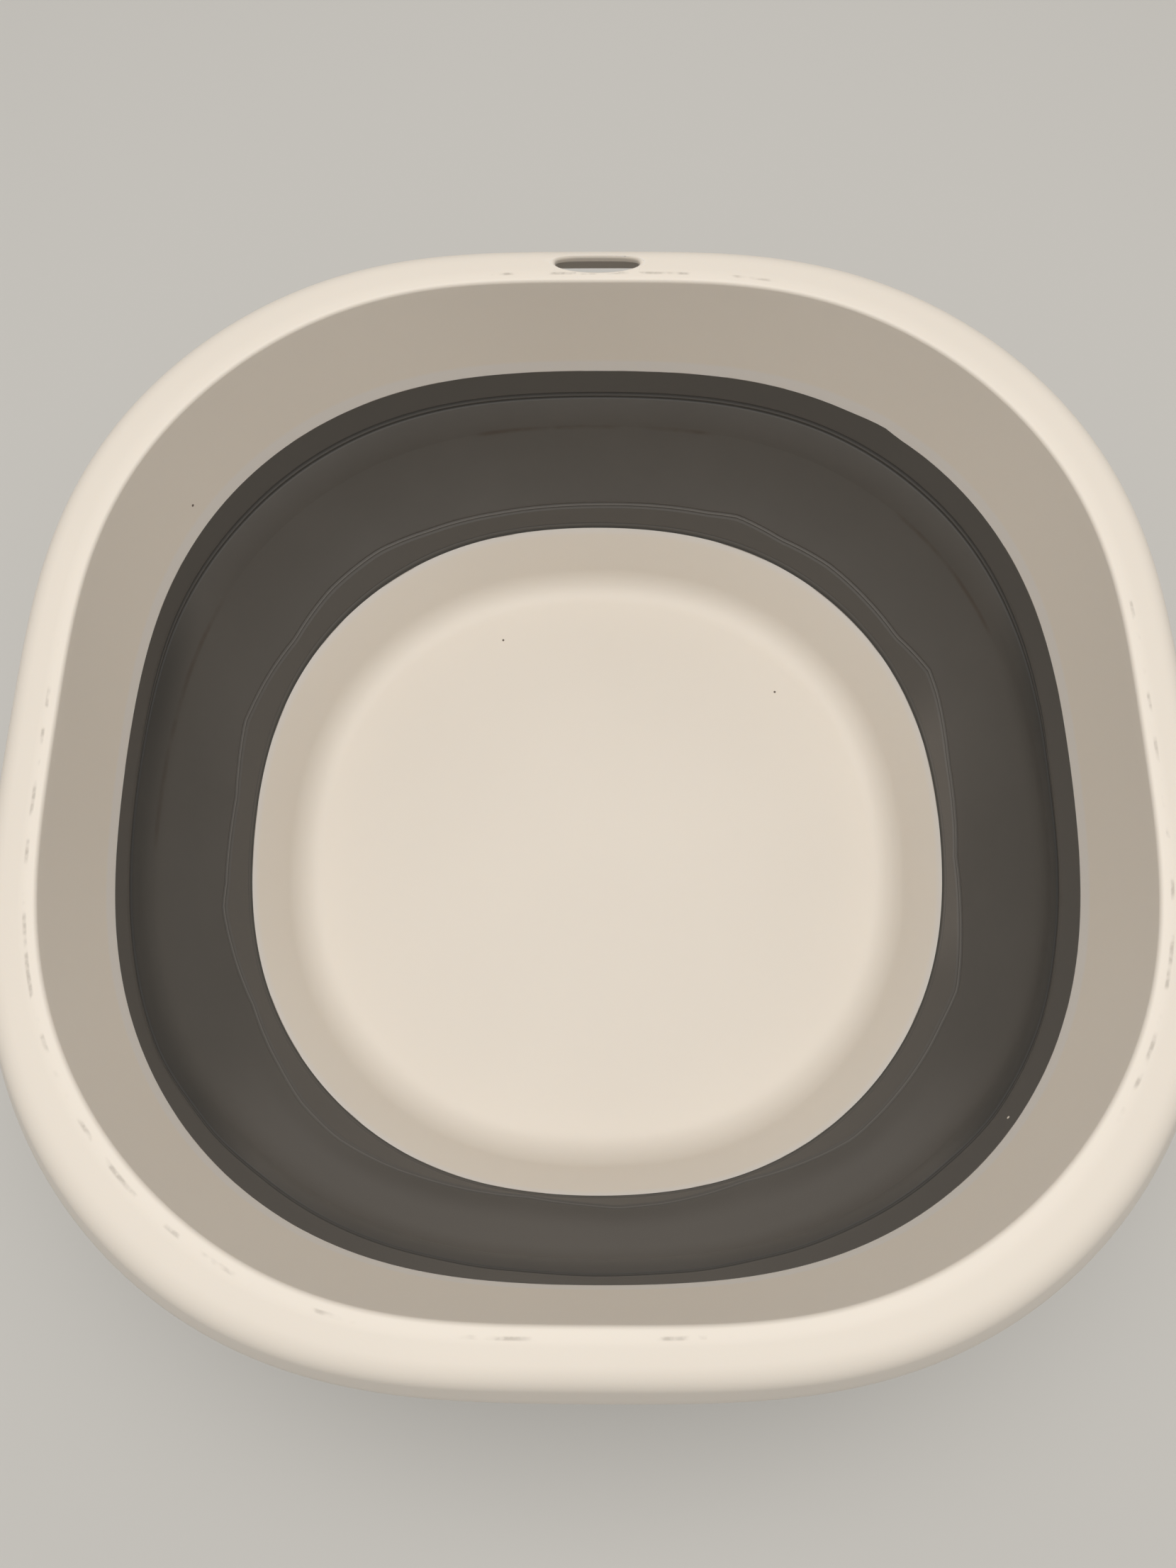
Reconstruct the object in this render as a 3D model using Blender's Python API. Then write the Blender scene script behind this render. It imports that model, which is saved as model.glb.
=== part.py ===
"""Collapsible camp washbasin.

A hard rounded-square rim and a nearly round hard dish are joined by one folding rubber wall. The rim slides
down round the dish while the wall turns inside out, which makes the basin flat to store. Metres, +Z up,
standing at z = 0 with its axis at x = y = 0 and the hanging slot on the +Y side.
"""

import math

import bmesh
import bpy

# Heights of the pieces that stack up from the table
PAD_PROUD = 0.0012
FOOT_RING_DEPTH = 0.0028
DISH_THICKNESS = 0.0022
DISH_DEPTH = 0.0277
LOWER_BAND_HEIGHT = 0.0130
MAIN_BAND_HEIGHT = 0.0481
HINGE_HEIGHT = 0.0033
LIP_HEIGHT = 0.0112
RIM_WALL_HEIGHT = 0.0390
CROWN_HEIGHT = 0.0015

# Half-widths at the middle of a side: the dish's edge, and how far each ring above it stands further out
DISH_EDGE_HALF = 0.1321
LOWER_BAND_SPREAD = 0.0031
MAIN_BAND_SPREAD = 0.0134
ROLL_SPREAD = 0.0026
HINGE_SPREAD = 0.0004
LIP_SPREAD = 0.0008
RIM_WALL_SPREAD = 0.0046

# Outline: how much further the corners reach than the middles of the sides, from the dish to the rim
FLOOR_REACH = 0.0032
DISH_EDGE_REACH = 0.0050
SEAM_REACH = 0.0113
RIM_REACH = 0.0131
SHOULDER_SHARE = 0.11
FLARE_REACH_SHARE = 0.16
SIDES = 60

# Dish
DISH_WALL_SPREAD = 0.0096
DISH_FILLET = 0.0140
FOOT_RING_INSET = 0.0185
FOOT_RING_WIDTH = 0.0027
FOOT_RING_DRAFT = 0.0003

# Anti-slip pads and the collars that hold them
PAD_COUNT = 4
PAD_RADIUS = 0.0090
PAD_SETBACK = 0.0155
PAD_EDGE_RADIUS = 0.0008
PAD_RECESS = 0.0003
COLLAR_WALL = 0.0016
COLLAR_ROOT = 0.0010
ROUND_SIDES = 32

# Folding wall
BAND_THICKNESS = 0.0022
HINGE_THICKNESS = 0.0011
HINGE_RECESS = 0.0008
HINGE_STEP = 0.0003
ROLL_HEIGHT = 0.0070
ROLL_CROWN = 0.0007
ROLL_STEPS = 3
BOWL_DEPTH = 0.0018
BOWL_STEPS = 6
CREASE_RECESS = 0.0006
CREASE_WIDTH = 0.0012
COLLAR_HEIGHT = 0.0022
COLLAR_LINE_WIDTH = 0.0008

# Moulded lap joints between the hard pieces and the rubber
LAP_HEIGHT = 0.0042
LAP_SKIN_SHARE = 0.45
LAP_COVER = 0.0014
GAP = 0.0003

# Rim
RIM_THICKNESS = 0.0022
CREST_SETBACK = 0.0035
RIM_TOP_WIDTH = 0.0140
RIM_EDGE_DROP = 0.0004
RIM_SHOULDER_DROP = 0.0014
SKIRT_FLARE = 0.0065
SKIRT_DEPTH = 0.0136
RIM_EDGE_RADIUS = 0.0025
RIM_CREST_RADIUS = 0.0120
RIM_SHOULDER_RADIUS = 0.0040
UNDERSIDE_RADIUS = 0.0006
ARC_STEPS = 4

# Hanging slot
SLOT_WIDTH = 0.0285
SLOT_INNER_MARGIN = 0.0040
SLOT_OUTER_MARGIN = 0.0031
SLOT_OUTER_SHARE = 0.36
SLOT_OUTER_POWER = 4.0
SLOT_INNER_POWER = 2.0
SLOT_LIP = 0.0010
SLOT_POINTS = 40
LIP_STEPS = 3
CUT_OVERRUN = 0.0030

# Levels worked out from the heights
FLOOR_UNDERSIDE = PAD_PROUD + FOOT_RING_DEPTH
FLOOR_TOP = FLOOR_UNDERSIDE + DISH_THICKNESS
DISH_EDGE = FLOOR_TOP + DISH_DEPTH
CREASE = DISH_EDGE + LOWER_BAND_HEIGHT
BAND_TOP = CREASE + MAIN_BAND_HEIGHT
LIP_BOTTOM = BAND_TOP + HINGE_HEIGHT
SEAM = LIP_BOTTOM + LIP_HEIGHT
RIM_EDGE = SEAM + RIM_WALL_HEIGHT
RIM_TOP = RIM_EDGE + CROWN_HEIGHT

# Half-widths worked out from the dish's edge
DISH_FLOOR_HALF = DISH_EDGE_HALF - DISH_WALL_SPREAD
CREASE_HALF = DISH_EDGE_HALF + LOWER_BAND_SPREAD
ROLL_HALF = CREASE_HALF + MAIN_BAND_SPREAD
BAND_TOP_HALF = ROLL_HALF + ROLL_SPREAD
LIP_BOTTOM_HALF = BAND_TOP_HALF + HINGE_SPREAD
SEAM_HALF = LIP_BOTTOM_HALF + LIP_SPREAD
RIM_INNER_HALF = SEAM_HALF + RIM_WALL_SPREAD
RIM_SHOULDER_HALF = RIM_INNER_HALF + RIM_TOP_WIDTH
SKIRT_HALF = RIM_SHOULDER_HALF + SKIRT_FLARE
FOOT_RING_HALF = DISH_FLOOR_HALF - FOOT_RING_INSET

REACH_LEVELS = (
    (FLOOR_TOP, FLOOR_REACH),
    (DISH_EDGE, DISH_EDGE_REACH),
    (SEAM, SEAM_REACH),
    (RIM_EDGE, RIM_REACH),
)


def clear_scene():
    for obj in list(bpy.data.objects):
        bpy.data.objects.remove(obj)


def new_collection(name):
    collection = bpy.data.collections.new(name)
    bpy.context.scene.collection.children.link(collection)
    return collection


def plastic(name, color, roughness):
    """A plain moulded material: neither the plastics nor the rubber are metallic."""
    material = bpy.data.materials.new(name)
    material.use_nodes = True
    shader = material.node_tree.nodes["Principled BSDF"]
    shader.inputs["Base Color"].default_value = (*color, 1.0)
    shader.inputs["Roughness"].default_value = roughness
    shader.inputs["Metallic"].default_value = 0.0
    material.diffuse_color = (*color, 1.0)
    return material


def corner_reach(half, height):
    """How much further a ring reaches at its corners than at the middles of its sides."""
    reach = FLOOR_REACH
    for (low, low_reach), (high, high_reach) in zip(REACH_LEVELS, REACH_LEVELS[1:]):
        share = min(max((height - low) / (high - low), 0.0), 1.0)
        reach += (high_reach - low_reach) * share
    return reach + FLARE_REACH_SHARE * max(half - RIM_INNER_HALF, 0.0)


def outline_point(half, height, step):
    """A point of the rounded-square ring with this half-width, at this height."""
    angle = math.tau * step / SIDES
    corner = (1 - math.cos(4 * angle)) / 2
    shoulder = (1 - math.cos(8 * angle)) / 2
    radius = half + corner_reach(half, height) * (corner + SHOULDER_SHARE * shoulder)
    return (radius * math.cos(angle), radius * math.sin(angle), height)


def along(point, direction, distance):
    return (point[0] + direction[0] * distance, point[1] + direction[1] * distance)


def unit(start, end):
    length = math.dist(start, end)
    return ((end[0] - start[0]) / length, (end[1] - start[1]) / length)


def right_of(direction):
    return (direction[1], -direction[0])


def rounded_path(corners):
    """Points along a section whose corners (half, height, radius) are rounded where the radius isn't zero."""
    path = [corners[0][:2]]
    for before, (half, height, radius), after in zip(corners, corners[1:], corners[2:]):
        corner = (half, height)
        if not radius:
            path.append(corner)
            continue
        back = unit(corner, before[:2])
        ahead = unit(corner, after[:2])
        opening = math.acos(back[0] * ahead[0] + back[1] * ahead[1])
        tangent = radius / math.tan(opening / 2)
        middle = unit((0.0, 0.0), (back[0] + ahead[0], back[1] + ahead[1]))
        centre = along(corner, middle, radius / math.sin(opening / 2))
        first = along(corner, back, tangent)
        last = along(corner, ahead, tangent)
        start = math.atan2(first[1] - centre[1], first[0] - centre[0])
        sweep = math.atan2(last[1] - centre[1], last[0] - centre[0]) - start
        sweep = math.remainder(sweep, math.tau)
        for step in range(ARC_STEPS + 1):
            angle = start + sweep * step / ARC_STEPS
            path.append(along(centre, (math.cos(angle), math.sin(angle)), radius))
    path.append(corners[-1][:2])
    return path


def offset_corners(corners, distance, smallest):
    """The same corners moved to the right of the path by a wall's thickness, radii kept concentric."""
    moved = []
    for index, (half, height, radius) in enumerate(corners):
        point = (half, height)
        back = unit(corners[index - 1][:2], point) if index else None
        ahead = unit(point, corners[index + 1][:2]) if index + 1 < len(corners) else None
        first = right_of(back or ahead)
        second = right_of(ahead or back)
        share = distance / (1 + first[0] * second[0] + first[1] * second[1])
        shifted = along(point, (first[0] + second[0], first[1] + second[1]), share)
        turns_right = back and ahead and back[0] * ahead[1] - back[1] * ahead[0] < 0
        inner = max(radius - distance, smallest) if turns_right else radius + distance
        moved.append((*shifted, inner if radius else 0.0))
    return moved


def add_object(name, mesh, material, collection):
    """Turns a finished bmesh into an object, with its faces facing out and smooth between soft edges."""
    bmesh.ops.recalc_face_normals(mesh, faces=mesh.faces)
    data = bpy.data.meshes.new(name)
    mesh.to_mesh(data)
    mesh.free()
    data.shade_smooth()
    data.set_sharp_from_angle(angle=math.radians(35))
    obj = bpy.data.objects.new(name, data)
    if material:
        data.materials.append(material)
    collection.objects.link(obj)
    return obj


def loft(rings, closed):
    """Skins a list of equal rings: round and round where closed, otherwise with a flat cap at each end."""
    mesh = bmesh.new()
    loops = [[mesh.verts.new(point) for point in ring] for ring in rings]
    pairs = list(zip(loops, loops[1:]))
    if closed:
        pairs.append((loops[-1], loops[0]))
    for lower, upper in pairs:
        for step in range(len(lower)):
            after = (step + 1) % len(lower)
            mesh.faces.new((lower[step], lower[after], upper[after], upper[step]))
    if not closed:
        mesh.faces.new(loops[0])
        mesh.faces.new(loops[-1])
    return mesh


def section_rings(section):
    return [[outline_point(half, height, step) for step in range(SIDES)] for half, height in section]


def add_cutter(name, mesh, collection):
    cutter = add_object(name, mesh, None, collection)
    cutter.hide_render = True
    cutter.display_type = "WIRE"
    return cutter


def combine(target, other, operation):
    modifier = target.modifiers.new(f"{operation.lower()} {other.name}", "BOOLEAN")
    modifier.operation = operation
    modifier.solver = "EXACT"
    modifier.object = other


def cylinder(radius, bottom, top, centre):
    mesh = bmesh.new()
    bmesh.ops.create_cone(
        mesh,
        cap_ends=True,
        segments=ROUND_SIDES,
        radius1=radius,
        radius2=radius,
        depth=top - bottom,
    )
    bmesh.ops.translate(mesh, verts=mesh.verts, vec=(centre[0], centre[1], (bottom + top) / 2))
    return mesh


def dish_wall():
    """The dish's wall line: its edge, the direction up it, and the direction out of it."""
    edge = (DISH_EDGE_HALF, DISH_EDGE)
    upward = unit((DISH_FLOOR_HALF, FLOOR_TOP), edge)
    return edge, upward, right_of(upward)


def rim_wall():
    """The rim's inner wall line: its lower edge, the direction up it, and the direction out of it."""
    edge = (SEAM_HALF, SEAM)
    upward = unit(edge, (RIM_INNER_HALF, RIM_TOP - RIM_EDGE_DROP))
    return edge, upward, right_of(upward)


def pad_centres():
    """Centres of the anti-slip pads, on the diagonals inside the foot ring."""
    distance = FOOT_RING_HALF - FOOT_RING_WIDTH - PAD_SETBACK
    for index in range(PAD_COUNT):
        angle = math.tau * (index + 0.5) / PAD_COUNT
        yield (distance * math.cos(angle), distance * math.sin(angle))


def dish_section():
    """From the middle of the floor up the inside, over the thinned edge, and down and under to the foot ring."""
    edge, upward, outward = dish_wall()
    skin = DISH_THICKNESS * LAP_SKIN_SHARE
    floor = DISH_FLOOR_HALF - DISH_FILLET
    inside = [(floor, FLOOR_TOP, 0.0), (DISH_FLOOR_HALF, FLOOR_TOP, DISH_FILLET), (*edge, 0.0)]
    outside = offset_corners(inside, DISH_THICKNESS, 0.0)
    shoulder = along(edge, upward, -LAP_HEIGHT)
    lap = [along(edge, outward, skin), along(shoulder, outward, skin)]
    lap.append(along(shoulder, outward, DISH_THICKNESS))
    under = rounded_path(outside)[1:-1][::-1]
    ring = FOOT_RING_HALF - FOOT_RING_WIDTH
    foot = [
        (FOOT_RING_HALF + FOOT_RING_DRAFT, FLOOR_UNDERSIDE),
        (FOOT_RING_HALF, PAD_PROUD),
        (ring, PAD_PROUD),
        (ring - FOOT_RING_DRAFT, FLOOR_UNDERSIDE),
    ]
    return rounded_path(inside)[1:] + lap + under + foot


def make_base_pan(material, parts, cutters):
    """The hard dish, with its foot ring and the collars that the pads are pressed into."""
    pan = add_object("base_pan", loft(section_rings(dish_section()), False), material, parts)
    pocket_radius = PAD_RADIUS + GAP
    for index, centre in enumerate(pad_centres(), 1):
        collar = cylinder(
            pocket_radius + COLLAR_WALL, PAD_PROUD, FLOOR_UNDERSIDE + COLLAR_ROOT, centre
        )
        combine(pan, add_cutter(f"collar_{index}", collar, cutters), "UNION")
        pocket = cylinder(pocket_radius, -CUT_OVERRUN, FLOOR_UNDERSIDE + PAD_RECESS, centre)
        combine(pan, add_cutter(f"pocket_{index}", pocket, cutters), "DIFFERENCE")
    return pan


def make_pads(material, parts):
    """Soft discs, each a clearance smaller than its pocket, with a rounded lower edge."""
    top = FLOOR_UNDERSIDE + PAD_RECESS - GAP
    for index, centre in enumerate(pad_centres(), 1):
        mesh = cylinder(PAD_RADIUS, 0.0, top, centre)
        rim = [edge for edge in mesh.edges if max(vert.co.z for vert in edge.verts) < top / 2]
        bmesh.ops.bevel(
            mesh, geom=rim, offset=PAD_EDGE_RADIUS, segments=2, profile=0.5, affect="EDGES"
        )
        add_object(f"foot_pad_{index}", mesh, material, parts)


def arc_between(start, end, bulge, steps):
    """Points from start to just before end, bowed to the left of the line by the bulge."""
    direction = unit(start, end)
    right = right_of(direction)
    length = math.dist(start, end)
    points = []
    for step in range(steps):
        share = step / steps
        point = along(start, direction, length * share)
        points.append(along(point, right, -bulge * 4 * share * (1 - share)))
    return points


def wall_spine():
    """The folding wall's inner face without its grooves, from the rim's seam down to the dish's edge.

    Each station is (half, height, recess of the inner face, offset of the outer face).
    """
    _, rim_up, _ = rim_wall()
    edge, dish_up, _ = dish_wall()
    lip = RIM_THICKNESS * LAP_SKIN_SHARE + GAP + LAP_COVER
    hinge = HINGE_RECESS + HINGE_THICKNESS
    crease = CREASE_RECESS + HINGE_THICKNESS
    half_crease = CREASE_WIDTH / 2
    top = along((SEAM_HALF, SEAM), rim_up, -GAP)
    roll_end = (ROLL_HALF, BAND_TOP - ROLL_HEIGHT)
    crease_top = (CREASE_HALF, CREASE + half_crease)
    crease_bottom = (CREASE_HALF, CREASE - half_crease)
    down_band = unit(crease_bottom, edge)
    collar_top = along(edge, down_band, -COLLAR_HEIGHT)
    stations = [
        (*top, 0.0, lip),
        (LIP_BOTTOM_HALF, LIP_BOTTOM, 0.0, lip),
        (LIP_BOTTOM_HALF, LIP_BOTTOM - HINGE_STEP, HINGE_RECESS, hinge),
        (BAND_TOP_HALF, BAND_TOP + HINGE_STEP, HINGE_RECESS, hinge),
    ]
    for point in arc_between((BAND_TOP_HALF, BAND_TOP), roll_end, -ROLL_CROWN, ROLL_STEPS):
        stations.append((*point, 0.0, BAND_THICKNESS))
    for point in arc_between(roll_end, crease_top, BOWL_DEPTH, BOWL_STEPS):
        stations.append((*point, 0.0, BAND_THICKNESS))
    stations += [
        (*crease_top, 0.0, BAND_THICKNESS),
        (CREASE_HALF, CREASE, CREASE_RECESS, crease),
        (*crease_bottom, 0.0, BAND_THICKNESS),
        (*along(collar_top, down_band, -COLLAR_LINE_WIDTH), 0.0, BAND_THICKNESS),
        (*along(collar_top, down_band, -COLLAR_LINE_WIDTH / 2), CREASE_RECESS, BAND_THICKNESS),
        (*collar_top, 0.0, BAND_THICKNESS),
        (*along(edge, dish_up, GAP), 0.0, BAND_THICKNESS),
    ]
    return stations


def lap_flange(joint, thickness, downward):
    """The rubber that covers the outside of a hard wall's thinned edge, from its root to its outer side."""
    edge, upward, outward = joint
    sign = -1 if downward else 1
    inner = thickness * LAP_SKIN_SHARE + GAP
    root = along(edge, upward, -sign * GAP)
    tip = along(edge, upward, sign * (LAP_HEIGHT - GAP))
    corners = [along(root, outward, inner), along(tip, outward, inner)]
    corners.append(along(tip, outward, inner + LAP_COVER))
    return corners


def wall_section():
    stations = wall_spine()
    points = [station[:2] for station in stations]
    inner = []
    outer = []
    for index, (half, height, recess, offset) in enumerate(stations):
        before = points[max(index - 1, 0)]
        after = points[min(index + 1, len(points) - 1)]
        downward = unit(before, after)
        outward = (-downward[1], downward[0])
        inner.append(along((half, height), outward, recess))
        outer.append(along((half, height), outward, offset))
    foot = lap_flange(dish_wall(), DISH_THICKNESS, True)
    head = lap_flange(rim_wall(), RIM_THICKNESS, False)
    return inner + foot + outer[-2:0:-1] + head[::-1]


def make_folding_wall(material, parts):
    """One rubber moulding: lip, hinge, main band, crease, lower band and a lap at each end."""
    return add_object("folding_wall", loft(section_rings(wall_section()), True), material, parts)


def rim_section():
    """Up the inner wall, over the crown and down the flared skirt, then back along the underside."""
    edge, upward, outward = rim_wall()
    shoulder_height = RIM_TOP - RIM_SHOULDER_DROP
    face = [
        (*edge, 0.0),
        (RIM_INNER_HALF, RIM_TOP - RIM_EDGE_DROP, RIM_EDGE_RADIUS),
        (RIM_INNER_HALF + CREST_SETBACK, RIM_TOP, RIM_CREST_RADIUS),
        (RIM_SHOULDER_HALF, shoulder_height, RIM_SHOULDER_RADIUS),
        (SKIRT_HALF, shoulder_height - SKIRT_DEPTH, 0.0),
    ]
    skin = RIM_THICKNESS * LAP_SKIN_SHARE
    shoulder = along(edge, upward, LAP_HEIGHT)
    underside = rounded_path(offset_corners(face, RIM_THICKNESS, UNDERSIDE_RADIUS))[::-1]
    underside[-1] = along(shoulder, outward, RIM_THICKNESS)
    lap = [along(shoulder, outward, skin), along(edge, outward, skin)]
    return rounded_path(face) + underside + lap


def slot_ring(grow, height):
    """The slot's D outline: nearly flat on its outer side and a long arc on its inner side."""
    inner_edge = RIM_INNER_HALF + SLOT_INNER_MARGIN
    outer_edge = RIM_SHOULDER_HALF - SLOT_OUTER_MARGIN
    depth = outer_edge - inner_edge
    widest = outer_edge - depth * SLOT_OUTER_SHARE
    ring = []
    for step in range(SLOT_POINTS):
        angle = math.tau * step / SLOT_POINTS
        across, away = math.cos(angle), math.sin(angle)
        power = SLOT_OUTER_POWER if away > 0 else SLOT_INNER_POWER
        reach = outer_edge - widest if away > 0 else widest - inner_edge
        x = (SLOT_WIDTH / 2 + grow) * math.copysign(abs(across) ** (2 / power), across)
        y = widest + (reach + grow) * math.copysign(abs(away) ** (2 / power), away)
        ring.append((x, y, height))
    return ring


def make_slot_cutter(cutters):
    """A prism through the rim's top whose mouth opens out, which leaves a softly rounded lip."""
    top = RIM_TOP - RIM_SHOULDER_DROP / 2
    rings = [slot_ring(0.0, RIM_TOP - RIM_WALL_HEIGHT / 2)]
    for step in range(LIP_STEPS + 1):
        angle = math.pi / 2 * step / LIP_STEPS
        rise = SLOT_LIP * math.sin(angle)
        rings.append(slot_ring(SLOT_LIP * (1 - math.cos(angle)), top - SLOT_LIP + rise))
    rings.append(slot_ring(SLOT_LIP, top + CUT_OVERRUN))
    return add_cutter("slot_cutter", loft(rings, False), cutters)


def make_rim_frame(material, parts, cutters):
    """The hard rim: inner wall, crown and flared skirt, with the slot it hangs by."""
    rim = add_object("rim_frame", loft(section_rings(rim_section()), True), material, parts)
    combine(rim, make_slot_cutter(cutters), "DIFFERENCE")
    return rim


def add_slide_axis(child, parts):
    """An empty on the vertical axis that the rim slides along when the basin is folded."""
    slide = bpy.data.objects.new("rim_slide", None)
    parts.objects.link(slide)
    child.parent = slide
    return slide


def build():
    clear_scene()
    parts = new_collection("camp_washbasin")
    cutters = new_collection("cutters")
    white = plastic("white_plastic", (0.80, 0.77, 0.72), 0.38)
    grey = plastic("grey_rubber", (0.085, 0.078, 0.070), 0.55)
    make_base_pan(white, parts, cutters)
    make_pads(grey, parts)
    make_folding_wall(grey, parts)
    add_slide_axis(make_rim_frame(white, parts, cutters), parts)


build()
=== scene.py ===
# %% [markdown]
# # A folding camp washbasin
# The real basin is three mouldings. A hard off-white rim and a hard off-white dish are joined by
# one wall of grey rubber, which turns inside out so that the rim can drop down round the dish.
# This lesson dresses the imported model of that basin: each hard or soft piece is modelled again
# with finer edges and real finishes.

import math

import bpy
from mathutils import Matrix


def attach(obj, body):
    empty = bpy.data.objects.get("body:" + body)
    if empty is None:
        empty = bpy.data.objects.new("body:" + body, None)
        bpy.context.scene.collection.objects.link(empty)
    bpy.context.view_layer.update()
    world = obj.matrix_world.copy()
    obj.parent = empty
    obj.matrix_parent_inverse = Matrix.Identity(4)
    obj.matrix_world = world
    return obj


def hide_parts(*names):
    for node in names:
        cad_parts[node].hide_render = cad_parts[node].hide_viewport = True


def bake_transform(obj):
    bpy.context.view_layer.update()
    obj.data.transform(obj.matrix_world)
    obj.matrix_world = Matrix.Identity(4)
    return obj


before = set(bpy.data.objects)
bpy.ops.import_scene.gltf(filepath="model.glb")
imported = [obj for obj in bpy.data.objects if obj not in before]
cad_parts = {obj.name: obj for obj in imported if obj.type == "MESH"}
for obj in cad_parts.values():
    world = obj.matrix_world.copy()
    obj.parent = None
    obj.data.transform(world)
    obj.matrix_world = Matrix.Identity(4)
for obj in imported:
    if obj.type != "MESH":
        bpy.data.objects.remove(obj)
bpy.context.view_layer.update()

# %% [markdown]
# ## The camera
# The photograph looks down into the basin from a little to its near side, with a wide lens close
# to it. The camera comes first, because every later choice is judged through it. Its place and
# lens were worked out mostly from the outlines of the rim, the rubber and the dish.

# %% Place the camera
CAMERA_PLACE = (0.0004, -0.1126, 0.4571)
CAMERA_TURN = (17.31, 0.43, 0.24)
CAMERA_LENS = 26.04
SENSOR = 36.0

bpy.ops.object.select_all(action="DESELECT")
bpy.ops.object.camera_add(
    location=CAMERA_PLACE, rotation=[math.radians(turn) for turn in CAMERA_TURN]
)
camera = bpy.context.object
camera.name = "camera"
camera.data.sensor_width = SENSOR
camera.data.lens = CAMERA_LENS
camera.data.clip_start = 0.01
bpy.context.scene.camera = camera
bpy.context.scene.view_settings.view_transform = "Standard"
print("camera", CAMERA_LENS, "mm lens, at", CAMERA_PLACE)

# %% [markdown]
# ## Sizes
# All lengths are in metres, and heights count from the table. "Half" is half the width at the
# middle of a side. The basin is a rounded square, so every ring reaches further out at its
# corners than its half-width. The heights come first, then the half-widths of the inner face,
# then what the walls and laps measure, and last the places that two pieces share, each as
# (half, height).

# %% Name the sizes
FLOOR_TOP = 0.0062
FLOOR_UNDERSIDE = 0.0040
DISH_EDGE = 0.0339
CREASE = 0.0469
ROLL_BOTTOM = 0.0820
BAND_TOP = 0.0950
LIP_BOTTOM = 0.0983
SEAM = 0.1095
RIM_EDGE = 0.1485
RIM_TOP = 0.1500

DISH_FLOOR_HALF = 0.1197
DISH_FILLET = 0.014
DISH_EDGE_HALF = 0.1321
CREASE_HALF = 0.1352
ROLL_HALF = 0.1481
BAND_TOP_HALF = 0.1512
LIP_BOTTOM_HALF = 0.1516
SEAM_HALF = 0.1524
RIM_INNER_HALF = 0.1570
RIM_SHOULDER_HALF = 0.1710
SKIRT_HALF = 0.1775

HARD_WALL = 0.0022
LAP_SKIN = 0.0010
LAP_HEIGHT = 0.0042
LAP_COVER = 0.0014
SNUG = 0.00005

DISH_CORNER = (DISH_FLOOR_HALF, FLOOR_TOP)
DISH_LIP = (DISH_EDGE_HALF, DISH_EDGE)
RIM_FOOT = (SEAM_HALF, SEAM)
RIM_CORNER = (RIM_INNER_HALF, RIM_TOP - 0.0004)
print("basin", 2 * SKIRT_HALF, "m wide and", RIM_TOP, "m high")

# %% [markdown]
# ## Drawing a section
# A basin is easiest to make as a lathe makes a bowl: its section is drawn once and turned round
# the axis. Sharp corners look false, because a mould always rounds them, so each corner of a
# section is listed with its radius and turned into a short arc.


# %% Round the corners of a section
def unit(start, end):
    length = math.dist(start, end)
    return ((end[0] - start[0]) / length, (end[1] - start[1]) / length)


def along(point, direction, distance):
    return (point[0] + direction[0] * distance, point[1] + direction[1] * distance)


def right_of(direction):
    return (direction[1], -direction[0])


def rounded(corners, steps=6):
    """Points of a section whose corners are (half, height) or (half, height, radius)."""
    path = [corners[0][:2]]
    for before, corner, after in zip(corners, corners[1:], corners[2:]):
        point = corner[:2]
        radius = corner[2] if len(corner) > 2 else 0.0
        if not radius:
            path.append(point)
            continue
        back, ahead = unit(point, before[:2]), unit(point, after[:2])
        opening = math.acos(max(-1.0, min(1.0, back[0] * ahead[0] + back[1] * ahead[1])))
        tangent = radius / math.tan(opening / 2)
        middle = unit((0.0, 0.0), (back[0] + ahead[0], back[1] + ahead[1]))
        centre = along(point, middle, radius / math.sin(opening / 2))
        first, last = along(point, back, tangent), along(point, ahead, tangent)
        start = math.atan2(first[1] - centre[1], first[0] - centre[0])
        sweep = math.atan2(last[1] - centre[1], last[0] - centre[0]) - start
        sweep = math.remainder(sweep, math.tau)
        for step in range(steps + 1):
            angle = start + sweep * step / steps
            path.append(along(centre, (math.cos(angle), math.sin(angle)), radius))
    path.append(corners[-1][:2])
    return path


def filled_in(path, longest=0.003):
    """The same path with points added, so that no step is longer than this."""
    dense = [path[0]]
    for start, end in zip(path, path[1:]):
        length, direction = math.dist(start, end), unit(start, end)
        count = max(1, math.ceil(length / longest))
        dense += [along(start, direction, length * i / count) for i in range(1, count + 1)]
    return dense


def moved_over(path, distance):
    """The path shifted to its right, as the other face of a wall of this thickness."""
    shifted = []
    for index, point in enumerate(path):
        before, after = path[max(index - 1, 0)], path[min(index + 1, len(path) - 1)]
        shifted.append(along(point, right_of(unit(before, after)), distance))
    return shifted


def bowed(start, end, bulge, count):
    """Points from start to just before end on a shallow arc, bowed to the left of the line."""
    direction = unit(start, end)
    points = []
    for index in range(count):
        share = index / count
        point = along(start, direction, math.dist(start, end) * share)
        points.append(along(point, right_of(direction), -bulge * 4 * share * (1 - share)))
    return points


print("a rounded corner has", len(rounded([(0, 0), (1, 0, 0.2), (1, 1)])) - 2, "points")

# %% [markdown]
# ## Turning a section
# The section starts as one vertex that is extruded from point to point. Spin then turns it round
# the upright axis. A point attribute named "run" keeps each vertex's distance along the section,
# and the finishes use it later to follow an edge all the way round.

# %% Spin a section
STEPS_ROUND = 288
SAME_POINT = 1e-6


def select_only(obj):
    bpy.ops.object.select_all(action="DESELECT")
    obj.select_set(True)
    bpy.context.view_layer.objects.active = obj


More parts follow.
